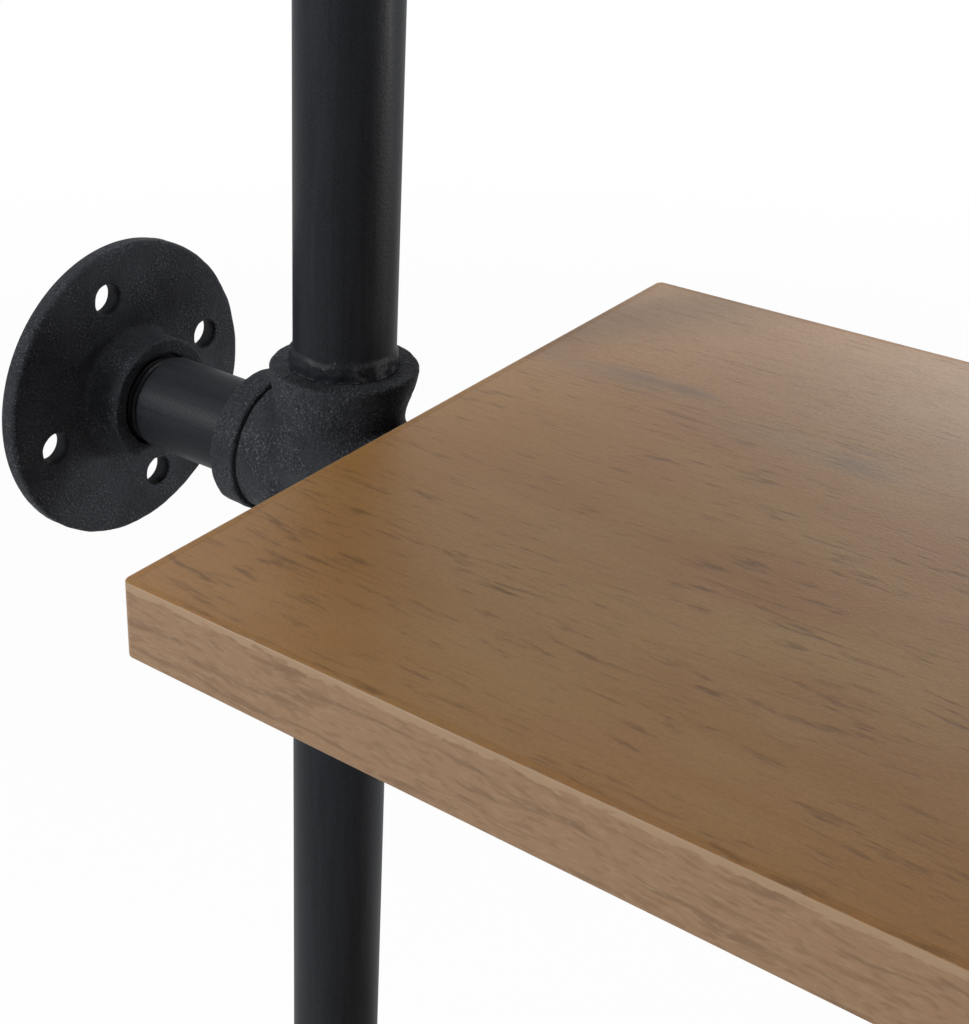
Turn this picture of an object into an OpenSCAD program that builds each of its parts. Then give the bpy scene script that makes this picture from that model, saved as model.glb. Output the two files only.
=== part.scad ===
// Pipe shelving unit: three boards carried between two standing pipe posts.
// Each post is held to the floor and to the wall beside it by round flanges.
// The frame has its origin on the floor under the middle of the unit.
// X runs along the boards, the front edge faces -Y and Z points up.

/* [Boards] */
// Length of each board, with its edge bands
board_l = 600; // [500:10:1000]
// Width of each board, front to back, with its edge bands
board_w = 220; // [160:2:320]
// Thickness of each board
board_t = 17; // [13:1:28]
// Thickness of the edge bands
edge_band_t = 2; // [1:0.2:3]
// Chamfer on the bands' outer arrises
arris = 0.8; // [0.2:0.1:0.9]
// Gap between a board's end and the fitting beside it
board_gap = 3.5; // [1:0.5:8]

/* [Tiers] */
// Height of the lowest crosses above the floor
first_tier_z = 150; // [110:5:300]
// Height from one tier to the next
tier_pitch = 330; // [220:5:450]
// Height of the posts' pipe ends above the centre of the top crosses
post_rise = 112; // [70:2:250]
// Distance from the wall's face to the middle of the post beside it
wall_reach = 82.8; // [74:0.2:140]

/* [Pipe] */
// Outer diameter of the pipe
pipe_d = 26.7; // [21.3:0.1:30]
// Wall thickness of the pipe
pipe_wall = 2.9; // [2:0.1:4]
// Chamfer on the pipes' ends
pipe_chamfer = 0.6; // [0.2:0.1:1]
// Length of pipe that is screwed into a fitting
thread_l = 12; // [9:0.5:13]
// Play round a pipe in its socket
thread_play = 0.1; // [0.05:0.05:0.2]
// Length of the arm that shows between a cross and the arm's end
arm_l = 150; // [110:5:200]
// Height of the thickened ring where a post pipe leaves a fitting
seal_ring_l = 5; // [2:0.5:8]
// Thickness of that ring over the pipe
seal_ring_t = 0.85; // [0.4:0.05:1.2]

/* [Crosses] */
// Distance from the centre of a cross to each of its four mouths
cross_reach = 30; // [27:0.5:40]
// Wall of the cross round a pipe
cross_wall = 4.4; // [3:0.1:6]
// Length of the band at each mouth
rim_l = 8; // [5:0.5:10]
// Height of the band over the wall beside it
rim_t = 1.5; // [1:0.05:4]
// Chamfer on the band's edges
rim_chamfer = 0.8; // [0.3:0.1:0.9]
// How far the middle of the cross swells past its arms
cross_swell = 1.2; // [0.6:0.1:2]

/* [Flanges] */
// Outer diameter of a flange
flange_d = 88; // [84:0.5:110]
// Thickness of a flange's plate
flange_t = 5.2; // [4:0.1:8]
// Chamfer on the plate's rim
flange_chamfer = 0.9; // [0.3:0.1:1.5]
// Height of the hub over the plate
hub_rise = 11.5; // [9:0.1:15]
// Wall of the hub round a pipe
hub_wall = 4.45; // [3.5:0.05:5.5]
// Height and width of the slope at the hub's foot
hub_foot = 3; // [1:0.1:3.6]
// How much wider the hub is at its foot than at its mouth
hub_draft = 1; // [0.2:0.1:1.2]
// Depth of the countersink in the hub's mouth
hub_sink = 1.3; // [0.5:0.1:2]
// Gap between a pipe's end and the surface that its flange stands on
flange_floor_gap = 1.5; // [0.5:0.1:2.5]
// Diameter of the circle that a flange's screw holes lie on
hole_circle_d = 62; // [60:0.5:64]
// Diameter of a screw hole
hole_d = 8.8; // [5:0.1:9]
// Turn of the screw holes about the hub, the same way round on both walls
hole_turn = 15; // [0:1:90]

/* [Caps and plugs] */
// Thickness of a post cap's crown over the pipe's end
cap_crown_t = 3.4; // [2:0.1:5]
// Rise of the crown's dome
cap_dome = 4.5; // [3:0.1:7]
// Thickness of an arm plug's head
plug_head_t = 2.2; // [1:0.1:4]
// Length of an arm plug's stem
plug_stem_l = 11; // [6:0.5:20]
// Play round a plug's stem
plug_play = 0.2; // [0.1:0.05:0.3]

/* [Straps and screws] */
// Width of a pipe strap
strap_w = 16; // [12:1:24]
// Thickness of the strap's steel
strap_t = 1.5; // [1:0.1:2]
// Play between a strap and the arm inside it
strap_play = 0.1; // [0.05:0.05:0.3]
// Length of each of the strap's ears
strap_ear_l = 15; // [12.5:0.5:22]
// Distance from an arm's mouth or end to the middle of the strap near it
strap_inset = 32; // [25:1:45]
// Diameter of a screw's shank
screw_d = 3.9; // [3:0.1:4.5]
// Depth that a screw reaches into the board
screw_reach = 11; // [8:0.5:12]
// Diameter of a screw's head
screw_head_d = 8; // [7:0.1:9]
// Height of a screw's head
screw_head_t = 2.6; // [2:0.1:3]
// Width of each slot of the cross cut in a screw's head
screw_slot_w = 0.9; // [0.6:0.1:1.2]
// Depth of that cross
screw_slot_t = 1.2; // [0.8:0.1:1.4]
// Play round a screw in the strap and the board
screw_play = 0.15; // [0.05:0.05:0.25]

/* [Hidden] */
$fn = 96;
SIDES = ["left", "right"];
TIERS = ["lower", "middle", "upper"];

iron = "#1c1c1e";
pipe_black = "#222226";
zinc_black = "#2c2c30";
plug_black = "#161616";
oak = "#94673f";
oak_edge = "#7d5c42";

overrun = 1;
dome_steps = 8;
pipe_r = pipe_d / 2;
pipe_bore_r = pipe_r - pipe_wall;
socket_r = pipe_r + thread_play;
socket_depth = thread_l + pipe_chamfer;
cross_r = socket_r + cross_wall;
rim_r = cross_r + rim_t;
chamber_r = pipe_bore_r + pipe_wall / 2;
hub_r = socket_r + hub_wall;
flange_r = flange_d / 2;
flange_h = flange_t + hub_rise;
post_x = board_l / 2 + board_gap + cross_reach;
arm_end = cross_reach + arm_l;
board_z = pipe_r;
strap_r = pipe_r + strap_play;
strap_outer_r = strap_r + strap_t;
screw_y = strap_outer_r + strap_ear_l / 2;
pilot_depth = screw_reach + screw_play;
edge_joint_gap = 0.1;
mouth_chamfer = thread_play + rim_t / 3;

function side_sign(side) = side == "left" ? -1 : 1;
function tier_z(tier) = first_tier_z + tier_pitch * search([tier], TIERS)[0];

// Puts a left post's piece on either post, at a tier: the right post is the left one turned half round
module at_post(side, z) {
    translate([side_sign(side) * post_x, 0, z])
        rotate([0, 0, side == "left" ? 0 : 180])
            children();
}

// Turns a shape drawn along +Z to point along +X
module along_x() {
    rotate([0, 90, 0])
        children();
}

// A ring about Z from height low to height high
module ring(outer, inner, low, high) {
    translate([0, 0, low])
        difference() {
            cylinder(r = outer, h = high - low);
            translate([0, 0, -overrun])
                cylinder(r = inner, h = high - low + 2 * overrun);
        }
}

// A pipe from height low to height high, with chamfered ends
module pipe(low, high) {
    rotate_extrude()
        polygon([
            [pipe_bore_r, low],
            [pipe_r - pipe_chamfer, low],
            [pipe_r, low + pipe_chamfer],
            [pipe_r, high - pipe_chamfer],
            [pipe_r - pipe_chamfer, high],
            [pipe_bore_r, high]
        ]);
}

// A pipe of the post, with the ring where it leaves the fitting below it
module post_pipe(low, high, ring_z) {
    color(pipe_black)
        union() {
            pipe(low, high);
            if (ring_z > 0)
                ring(pipe_r + seal_ring_t, pipe_r - pipe_wall / 2, ring_z, ring_z + seal_ring_l);
        }
}

module foot_pipe(side) {
    at_post(side, 0)
        post_pipe(flange_floor_gap, first_tier_z - cross_reach + thread_l, 0);
}

module riser(side, tier) {
    bottom = tier_z(tier) + cross_reach;
    at_post(side, 0)
        post_pipe(bottom - thread_l, tier_z(tier) + tier_pitch - cross_reach + thread_l, bottom);
}

module top_stub(side) {
    bottom = tier_z("upper") + cross_reach;
    at_post(side, 0)
        post_pipe(bottom - thread_l, tier_z("upper") + post_rise, bottom);
}

// A cap screwed over the end of a post, with a domed crown
module top_cap(side) {
    band_top = rim_l + rim_chamfer;
    crown_z = socket_depth + cap_crown_t;
    dome_r = (cross_r * cross_r + cap_dome * cap_dome) / (2 * cap_dome);
    dome_angle = asin(cross_r / dome_r);
    dome_z = crown_z + cap_dome - dome_r;
    at_post(side, tier_z("upper") + post_rise - thread_l)
        color(iron)
            rotate_extrude()
                polygon(concat(
                    [
                        [0, socket_depth],
                        [socket_r, socket_depth],
                        [socket_r, 0],
                        [rim_r - rim_chamfer, 0],
                        [rim_r, rim_chamfer],
                        [rim_r, rim_l],
                        [rim_r - rim_chamfer, band_top],
                        [cross_r, band_top]
                    ],
                    [
                        for (step = [dome_steps:-1:0])
                            let (angle = dome_angle * step / dome_steps)
                                [dome_r * sin(angle), dome_z + dome_r * cos(angle)]
                    ]
                ));
}

// One arm of a cross along +Z: its wall and the band at its mouth
module cross_arm() {
    band_z = cross_reach - rim_l;
    rotate_extrude()
        polygon([
            [0, 0],
            [cross_r, 0],
            [cross_r, band_z],
            [rim_r - rim_chamfer, band_z],
            [rim_r, band_z + rim_chamfer],
            [rim_r, cross_reach - rim_chamfer],
            [rim_r - rim_chamfer, cross_reach],
            [0, cross_reach]
        ]);
}

// The hollow of one arm along +Z: waterway, socket and the chamfer in its mouth
module cross_socket() {
    shoulder_z = cross_reach - socket_depth;
    rotate_extrude()
        polygon([
            [0, 0],
            [pipe_bore_r, 0],
            [pipe_bore_r, shoulder_z],
            [socket_r, shoulder_z],
            [socket_r, cross_reach - mouth_chamfer],
            [socket_r + mouth_chamfer, cross_reach],
            [socket_r + mouth_chamfer, cross_reach + overrun],
            [0, cross_reach + overrun]
        ]);
}

module four_ways() {
    for (quarter = [0:3])
        rotate([0, 90 * quarter, 0])
            children();
}

module pipe_cross(side, tier) {
    at_post(side, tier_z(tier))
        color(iron)
            difference() {
                union() {
                    four_ways()
                        cross_arm();
                    sphere(r = cross_r + cross_swell);
                }
                four_ways()
                    cross_socket();
                sphere(r = chamber_r);
            }
}

// A round flange with its back on the plane z = 0 and its hub along +Z
module flange(turn) {
    color(iron)
        difference() {
            rotate_extrude()
                polygon([
                    [socket_r, 0],
                    [flange_r - flange_chamfer, 0],
                    [flange_r, flange_chamfer],
                    [flange_r, flange_t - flange_chamfer],
                    [flange_r - flange_chamfer, flange_t],
                    [hub_r + hub_draft + hub_foot, flange_t],
                    [hub_r + hub_draft, flange_t + hub_foot],
                    [hub_r, flange_h],
                    [socket_r + hub_sink, flange_h],
                    [socket_r, flange_h - hub_sink]
                ]);
            for (quarter = [0:3])
                rotate([0, 0, turn + 90 * quarter])
                    translate([hole_circle_d / 2, 0, -overrun])
                        cylinder(d = hole_d, h = flange_t + 2 * overrun);
        }
}

module floor_flange(side) {
    at_post(side, 0)
        flange(hole_turn);
}

module wall_flange(side, tier) {
    at_post(side, tier_z(tier))
        translate([-wall_reach, 0, 0])
            along_x()
                flange(-side_sign(side) * hole_turn);
}

module wall_nipple(side, tier) {
    at_post(side, tier_z(tier))
        color(pipe_black)
            along_x()
                pipe(flange_floor_gap - wall_reach, thread_l - cross_reach);
}

module arm(side, tier) {
    at_post(side, tier_z(tier))
        color(pipe_black)
            along_x()
                pipe(cross_reach - thread_l, arm_end);
}

// A push-in plug that closes an arm's open end
module arm_plug(side, tier) {
    at_post(side, tier_z(tier))
        translate([arm_end, 0, 0])
            color(plug_black)
                along_x()
                    rotate_extrude()
                        polygon([
                            [0, -plug_stem_l],
                            [pipe_bore_r - 2 * plug_play, -plug_stem_l],
                            [pipe_bore_r - plug_play, plug_play - plug_stem_l],
                            [pipe_bore_r - plug_play, 0],
                            [pipe_r, 0],
                            [pipe_r, plug_head_t - plug_play],
                            [pipe_r - plug_play, plug_head_t],
                            [0, plug_head_t]
                        ]);
}

// Puts a shape at both straps of an arm
module at_straps() {
    for (x = [cross_reach + strap_inset, arm_end - strap_inset])
        translate([x, 0, 0])
            children();
}

// Puts a shape at both screws of a strap
module at_screws() {
    for (y = [-screw_y, screw_y])
        translate([0, y, 0])
            children();
}

// The outline of a strap: a half ring under the arm, two legs and two ears
module strap_outline() {
    difference() {
        circle(r = strap_outer_r);
        circle(r = strap_r);
        translate([-strap_outer_r - overrun, 0])
            square([2 * (strap_outer_r + overrun), strap_outer_r + overrun]);
    }
    for (turn = [0, 180])
        rotate([0, turn, 0])
            polygon([
                [strap_r, 0],
                [strap_outer_r, 0],
                [strap_outer_r, board_z - strap_t],
                [strap_outer_r + strap_ear_l, board_z - strap_t],
                [strap_outer_r + strap_ear_l, board_z],
                [strap_r, board_z]
            ]);
}

module pipe_straps(side, tier) {
    at_post(side, tier_z(tier))
        color(zinc_black)
            at_straps()
                difference() {
                    translate([-strap_w / 2, 0, 0])
                        rotate([90, 0, 90])
                            linear_extrude(strap_w)
                                strap_outline();
                    at_screws()
                        translate([0, 0, board_z - strap_t - overrun])
                            cylinder(d = screw_d + 2 * screw_play, h = strap_t + 2 * overrun);
                }
}

// A pan-head screw driven up into a board, with its head under the strap's ear
module strap_screw() {
    seat_z = board_z - strap_t;
    head_z = seat_z - screw_head_t;
    head_r = screw_head_d / 2;
    shank_r = screw_d / 2;
    tip_z = board_z + screw_reach;
    difference() {
        rotate_extrude()
            polygon([
                [0, head_z],
                [head_r / 2, head_z],
                [head_r, seat_z - screw_head_t / 2],
                [head_r, seat_z],
                [shank_r, seat_z],
                [shank_r, tip_z - screw_d],
                [0, tip_z]
            ]);
        for (turn = [0, 90])
            rotate([0, 0, turn])
                translate([-head_r / 2, -screw_slot_w / 2, head_z - overrun])
                    cube([head_r, screw_slot_w, screw_slot_t + overrun]);
    }
}

module strap_screws(tier) {
    color(zinc_black)
        for (side = SIDES)
            at_post(side, tier_z(tier))
                at_straps()
                    at_screws()
                        strap_screw();
}

// A board's core, with a blind pilot hole for each screw
module board(tier) {
    core_l = board_l - 2 * edge_band_t;
    core_w = board_w - 2 * edge_band_t;
    color(oak)
        difference() {
            translate([-core_l / 2, -core_w / 2, tier_z(tier) + board_z])
                cube([core_l, core_w, board_t]);
            for (side = SIDES)
                at_post(side, tier_z(tier) + board_z)
                    at_straps()
                        at_screws()
                            translate([0, 0, -overrun])
                                cylinder(d = screw_d + 2 * screw_play, h = pilot_depth + overrun);
        }
}

// One band along -Y of the board's centre line, with chamfered outer arrises
module edge_band(length, distance) {
    translate([-length / 2, -distance, 0])
        rotate([90, 0, 90])
            linear_extrude(length)
                polygon([
                    [arris, 0],
                    [edge_band_t, 0],
                    [edge_band_t, board_t],
                    [arris, board_t],
                    [0, board_t - arris],
                    [0, arris]
                ]);
}

// The four bands glued round a board: two along it and two across its ends
module edge_bands(tier) {
    end_w = board_w - 2 * (edge_band_t + edge_joint_gap);
    color(oak_edge)
        translate([0, 0, tier_z(tier) + board_z])
            for (way = [0, 180]) {
                rotate([0, 0, way])
                    edge_band(board_l, board_w / 2);
                rotate([0, 0, way + 90])
                    edge_band(end_w, board_l / 2);
            }
}

for (side = SIDES) {
    floor_flange(side);
    foot_pipe(side);
    riser(side, "lower");
    riser(side, "middle");
    top_stub(side);
    top_cap(side);
}
for (side = SIDES, tier = TIERS) {
    pipe_cross(side, tier);
    wall_nipple(side, tier);
    wall_flange(side, tier);
    arm(side, tier);
    arm_plug(side, tier);
    pipe_straps(side, tier);
}
for (tier = TIERS) {
    strap_screws(tier);
    board(tier);
    edge_bands(tier);
}
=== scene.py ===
"""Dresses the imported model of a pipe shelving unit, and makes its light, floor and camera."""

import math

import bmesh
import bpy
import numpy as np
from bpy.props import FloatProperty, FloatVectorProperty, PointerProperty
from mathutils import Matrix, Vector, noise


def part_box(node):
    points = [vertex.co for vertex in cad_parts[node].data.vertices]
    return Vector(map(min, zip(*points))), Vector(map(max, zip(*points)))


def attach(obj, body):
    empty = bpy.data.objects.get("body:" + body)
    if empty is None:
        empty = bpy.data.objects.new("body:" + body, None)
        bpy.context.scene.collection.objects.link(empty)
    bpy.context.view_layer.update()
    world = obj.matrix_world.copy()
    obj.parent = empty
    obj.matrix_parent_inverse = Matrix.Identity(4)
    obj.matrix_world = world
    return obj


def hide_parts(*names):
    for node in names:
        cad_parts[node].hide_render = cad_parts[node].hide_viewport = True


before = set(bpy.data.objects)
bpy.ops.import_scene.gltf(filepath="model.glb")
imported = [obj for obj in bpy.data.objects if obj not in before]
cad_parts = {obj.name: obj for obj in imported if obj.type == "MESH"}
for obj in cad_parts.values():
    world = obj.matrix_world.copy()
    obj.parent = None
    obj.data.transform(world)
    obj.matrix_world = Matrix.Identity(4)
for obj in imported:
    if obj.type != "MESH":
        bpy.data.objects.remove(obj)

bl_info = {
    "name": "Pipe Shelving Unit",
    "version": (1, 0, 0),
    "blender": (4, 5, 0),
    "location": "3D View > Sidebar > Shelving",
    "description": "Makes the castings, pipes, boards and stage of a pipe shelving unit",
    "category": "Object",
}

SIDES = ("left", "right")
TIERS = ("lower", "middle", "upper")

# A millimetre in metres, for the shapes, and a metre in millimetres, for the finishes
MM = 0.001
IN_MM = 1000.0


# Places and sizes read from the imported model


def middle(node):
    """The middle of a node's box."""
    low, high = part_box(node)
    return (low + high) / 2


def span(node):
    """The size of a node's box."""
    low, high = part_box(node)
    return high - low


POST_X = middle("right_foot_pipe").x
TIER_Z = {tier: middle(f"left_{tier}_cross").z for tier in TIERS}
REACH = span("left_middle_cross").x / 2
MOUTH_R = span("left_middle_cross").y / 2
PIPE_R = span("left_middle_arm").y / 2
FLANGE_R = span("left_floor_flange").x / 2
FLANGE_H = span("left_floor_flange").z
ARM_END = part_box("left_middle_arm")[1].x + POST_X
THREAD = REACH - (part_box("left_middle_arm")[0].x + POST_X)
OPEN_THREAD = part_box("left_middle_wall_flange")[1].x + POST_X
BOARD_SIZE = span("middle_board")
BANDED_SIZE = span("middle_edge_bands")
BOARD_Z = middle("middle_board").z
ALONG_X = Matrix.Rotation(math.pi / 2, 4, "Y")

# The play of sockets and straps round a pipe, and how near counts as touching
PLAY = 0.1 * MM
TOUCH = 1e-6

# The flange's holes: the radius of their circle, their own radius, and the circle's turn
HOLE_CIRCLE = 31 * MM
HOLE_R = 4.4 * MM
HOLE_TURN = math.radians(15)

# The thread's pitch, and how far a socket goes on behind the thread
THREAD_PITCH = 1.81 * MM
SHOULDER = 0.6 * MM

# How far outside its socket a casting's skin grows uneven, and the width of the bumps
CLEAR_OF_SOCKET = 0.3 * MM
CROSS_GRAIN = 4.2 * MM
FLANGE_GRAIN = 4.6 * MM
CAP_GRAIN = 4.4 * MM

# An arm plug's stem and head, and the height of a cap's domed crown
PLUG_STEM = 11 * MM
PLUG_HEAD = span("left_middle_arm_plug").x - PLUG_STEM
DOME = 4.5 * MM

# How a tier's screws are turned, in degrees: the start, and the step from each to the next
SCREW_TURN = 17.0
SCREW_STEP = 47.0

# Sides of the round pieces
PIPE_SIDES = 128
CROSS_SIDES = 136
FLANGE_SIDES = 176
CAP_SIDES = 112
PLUG_SIDES = 96
SCREW_SIDES = 40

# Above these angles, in degrees, an edge of a casting or of pressed steel is shaded sharp
CAST_SHARP = 50
STEEL_SHARP = 30

# Plan directions, on the left post, of the worn front, the side right of it, and the rough flank,
# which faces the back lamp and is painted lighter
FRONT = (0.53, -0.85)
ASIDE = (0.85, 0.53)
FLANK = (0.85, 0.50)

# How far a print moves, in metres, for each metre that a piece stands from the middle
PRINT_SHIFT = 3.7

# Grey marks of the boards' print: middle in x and y, length and width in mm, and strength
GREY_MARKS = (
    (-277.0, 38.0, 34.0, 10.0, 0.30),
    (-266.0, 41.5, 22.0, 5.0, 0.42),
    (-255.0, 42.0, 11.0, 4.2, 0.40),
    (-205.5, 28.5, 12.0, 6.5, 0.50),
    (-206.0, 37.0, 7.0, 1.9, 0.40),
    (-225.0, 30.0, 30.0, 9.0, 0.16),
)

# The stage: where the floor fades, how white it is near the unit, and what the lamps shine on
FLOOR_FADE = (0.7, 2.4)
FLOOR_NEAR = 0.89
LAMPS_AIM = (0, 0, 0.5)
WHITE = (1, 1, 1)
ROOM_TINT = (0.97, 0.985, 1.0)

# The camera: azimuth, elevation, roll in degrees, place from the left middle cross, and shift
VIEW_ANGLES = (32.478, 24.545, 3.208)
VIEW_FROM = (0.22154, -0.28004, 0.18381)
VIEW_SHIFT = -0.109


def at_post(side, z=0.0):
    """Where a left post's piece goes on a post: the right one is the left one turned round."""
    if side == "left":
        return Matrix.Translation((-POST_X, 0, z))
    return Matrix.Translation((POST_X, 0, z)) @ Matrix.Rotation(math.pi, 4, "Z")


def at_crosses(kind, sides=SIDES, tiers=TIERS):
    """Each cross's node of one kind, with the cross's place."""
    for side in sides:
        for tier in tiers:
            yield f"{side}_{tier}_{kind}", at_post(side, TIER_Z[tier])


# Sizes and colours that a user would change


def length(name, description, default):
    """A size in metres."""
    return FloatProperty(
        name=name, description=description, default=default, min=0.0, precision=5, unit="LENGTH"
    )


def colour(name, description, default):
    """A colour, as light values."""
    return FloatVectorProperty(
        name=name, description=description, default=default, min=0.0, max=1.0, subtype="COLOR"
    )


def amount(name, description, default, unit="NONE"):
    """A number from nought up."""
    return FloatProperty(name=name, description=description, default=default, min=0.0, unit=unit)


class PipeSizes(bpy.types.PropertyGroup):
    """The pipes, with their seal rings and threads, and the arm plugs."""

    wall: length("Pipe wall", "Thickness of the pipe's wall", 2.9 * MM)
    end_round: length("End rounding", "Rounding of the pipe's ends", 0.6 * MM)
    ring_height: length("Seal ring height", "Height of the ring above a fitting", 4.7 * MM)
    ring_depth: length("Seal ring depth", "How far that ring stands off the pipe", 0.85 * MM)
    thread_depth: length("Thread depth", "How deep the nipples' open thread is cut", 1.0 * MM)
    thread_shown: length("Thread shown", "Length of thread left open at a wall flange", 3.2 * MM)
    plug_head: length("Plug head", "Thickness of the arm plug's head", PLUG_HEAD)


class CastingSizes(bpy.types.PropertyGroup):
    """The crosses, flanges and caps."""

    socket_radius: length("Socket radius", "Radius of a fitting's socket", PIPE_R + PLAY)
    upright_radius: length("Upright radius", "Radius of the cross's upright body", 17.3 * MM)
    level_radius: length("Level radius", "Radius of the cross's level body", 17.9 * MM)
    barrel: length("Barrel", "How far the level body swells before the band", 0.6 * MM)
    blend: length("Blend", "Softness of the join between the cross's bodies", 0.55 * MM)
    flare_start: length("Flare start", "Height where the upright mouth starts to widen", 15 * MM)
    drawn_in: length("Drawn in", "How far the waist is drawn in at the board's side", 1.4 * MM)
    edge_round: length("Edge rounding", "Rounding of the mouths' outer edges", 0.9 * MM)
    band_length: length("Band length", "Length of the band at a level mouth", 8 * MM)
    groove_width: length("Groove width", "Width of the groove behind that band", 0.45 * MM)
    plate: length("Plate thickness", "Thickness of the flange's plate", 5.2 * MM)
    rim_round: length("Rim rounding", "Rounding of the plate's front rim", 1.5 * MM)
    hub_radius: length("Hub radius", "Radius of the flange's hub at its mouth", 17.9 * MM)
    foot_round: length("Foot rounding", "Radius of the fillet between hub and plate", 1.8 * MM)
    hole_circle: length("Hole circle", "Radius of the circle of screw holes", HOLE_CIRCLE)
    hole_radius: length("Hole radius", "Radius of a screw hole", HOLE_R)
    skin_depth: length("Skin depth", "Depth of the casting's unevenness", 0.16 * MM)


class StrapSizes(bpy.types.PropertyGroup):
    """The pipe straps and their screws."""

    width: length("Strap width", "Width of a pipe strap", 16 * MM)
    thickness: length("Strap thickness", "Thickness of the strap's steel", 1.5 * MM)
    bend: length("Bend radius", "Inner radius of the bend into an ear", 1.5 * MM)
    ear: length("Ear length", "Length of an ear from the strap's outer face", 15 * MM)
    inset: length("Strap inset", "From an arm's mouth or end to the strap's middle", 32 * MM)
    ear_round: length("Ear rounding", "Corner rounding of the ears", 5 * MM)
    screw_radius: length("Screw radius", "Radius of a screw's shank", 1.95 * MM)
    head_radius: length("Head radius", "Radius of a screw's head", 4 * MM)
    head_height: length("Head height", "Height of a screw's head", 2.6 * MM)


class BoardSizes(bpy.types.PropertyGroup):
    """The boards and their edge bands."""

    arris: length("Band arris", "Rounding of the edge band's arrises", 0.35 * MM)
    corner: length("Corner rounding", "Rounding of the board's corners in plan", 2.05 * MM)
    joint: length("Joint", "Width of the joint between board and edge band", 0.06 * MM)


class Finishes(bpy.types.PropertyGroup):
    """The colours of every finish."""

    iron: colour("Cast iron", "Black of the castings", (0.0248, 0.0264, 0.0303))
    pipe: colour("Pipe", "Black of the pipes", (0.0098, 0.0111, 0.0136))
    dust: colour("Dust", "Pale dust and rubbed paint at the seal rings", (0.150, 0.155, 0.160))
    steel: colour("Strap steel", "Black of the straps and screws", (0.013, 0.014, 0.016))
    plug: colour("Plug", "Black of the arm plugs", (0.012, 0.012, 0.012))
    oak_warm: colour("Oak, warm", "Warmest tone of the boards", (0.292, 0.144, 0.042))
    oak_pale: colour("Oak, pale", "Palest tone of the boards", (0.340, 0.198, 0.074))
    oak_red: colour("Oak, red", "Ruddy patches of the boards", (0.322, 0.155, 0.066))
    # Partly the print's grey and partly painted sheen: the boards' back is painted greyer and
    # paler, as where it mirrors the white room
    oak_grey_and_sheen: colour("Oak, silver", "Greyer tone at the boards' back", (0.330, 0.270, 0.220))
    oak_dark: colour("Oak, dark", "Tone of the boards' dark streaks", (0.125, 0.060, 0.020))
    oak_grey: colour("Oak, grey", "Tone of the boards' grey marks", (0.125, 0.092, 0.070))
    edge_face: colour("Edge face", "Printed face of the edge bands", (0.225, 0.132, 0.070))
    edge_pale: colour("Edge strip", "Pale strip and dashes of the bands", (0.266, 0.178, 0.104))
    edge_dark: colour("Edge streaks", "Dark streaks of the edge bands", (0.138, 0.079, 0.040))
    floor: colour("Floor", "The pale floor", (0.80, 0.80, 0.80))


class StageSizes(bpy.types.PropertyGroup):
    """The light and the lens."""

    key_power: amount("Key light", "Power of the front lamp on the left", 84.0, "POWER")
    back_power: amount("Back light", "Power of the small low lamp behind the unit", 66.0, "POWER")
    top_power: amount("Top light", "Power of the wide lamp overhead", 59.0, "POWER")
    sheen_power: amount("Sheen light", "Power of the lamp that the boards mirror", 7.0, "POWER")
    room_light: amount("Room light", "Strength of the even light from all round", 0.10)
    lens: amount("Lens", "Focal length for a 36 mm wide sensor", 52.81, "CAMERA")


# Mesh helpers


def arc(centre, radius, start, end, steps):
    """Points on an arc, from one angle to the other in degrees."""
    angles = [math.radians(start + (end - start) * i / steps) for i in range(steps + 1)]
    return [(centre[0] + radius * math.cos(a), centre[1] + radius * math.sin(a)) for a in angles]


def stretch(start, end, steps):
    """Points on a straight line, without its ends."""
    return [
        tuple(a + (b - a) * i / steps for a, b in zip(start, end)) for i in range(1, steps)
    ]


def ease(value, low, high):
    """0 below low and 1 above high, with a smooth step between."""
    t = np.clip((value - low) / (high - low), 0.0, 1.0)
    return t * t * (3.0 - 2.0 * t)


def turned(outline, segments):
    """A closed outline of (radius, height) points turned about Z, with one vertex on the axis."""
    bm = bmesh.new()
    turns = [2 * math.pi * i / segments for i in range(segments)]
    rings = []
    for r, z in outline:
        around = turns if r > TOUCH else [0.0]
        rings.append([bm.verts.new((r * math.cos(a), r * math.sin(a), z)) for a in around])
    for a, b in zip(rings, rings[1:] + rings[:1]):
        for i in range(segments):
            j = (i + 1) % segments
            corners = [a[i % len(a)], a[j % len(a)], b[j % len(b)], b[i % len(b)]]
            corners = list(dict.fromkeys(corners))
            if len(corners) > 2:
                bm.faces.new(corners)
    bmesh.ops.recalc_face_normals(bm, faces=bm.faces)
    return bm


def extruded(outline, depth):
    """A closed outline of (y, z) points drawn out along X, from -depth / 2 to depth / 2."""
    bm = bmesh.new()
    ends = [[bm.verts.new((x, y, z)) for y, z in outline] for x in (-depth / 2, depth / 2)]
    bm.faces.new(ends[0])
    bm.faces.new(ends[1])
    for i in range(len(outline)):
        j = (i + 1) % len(outline)
        bm.faces.new([ends[0][i], ends[0][j], ends[1][j], ends[1][i]])
    bmesh.ops.recalc_face_normals(bm, faces=bm.faces)
    return bm


def roughen(bm, depth, grain, chosen=lambda co: True):
    """Moves a casting's skin in and out along its normals, with bumps about one grain across."""
    bm.normal_update()
    moves = [
        v.normal * depth * (noise.noise(v.co / grain) + 0.5 * noise.noise(v.co / grain * 3.1))
        if chosen(v.co)
        else Vector()
        for v in bm.verts
    ]
    for v, move in zip(bm.verts, moves):
        v.co += move


def to_mesh(bm, name, sharp=40.0):
    """A smooth-shaded mesh, with edges above an angle kept sharp."""
    mesh = bpy.data.meshes.new(name)
    bm.to_mesh(mesh)
    bm.free()
    mesh.shade_smooth()
    mesh.set_sharp_from_angle(angle=math.radians(sharp))
    return mesh


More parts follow.
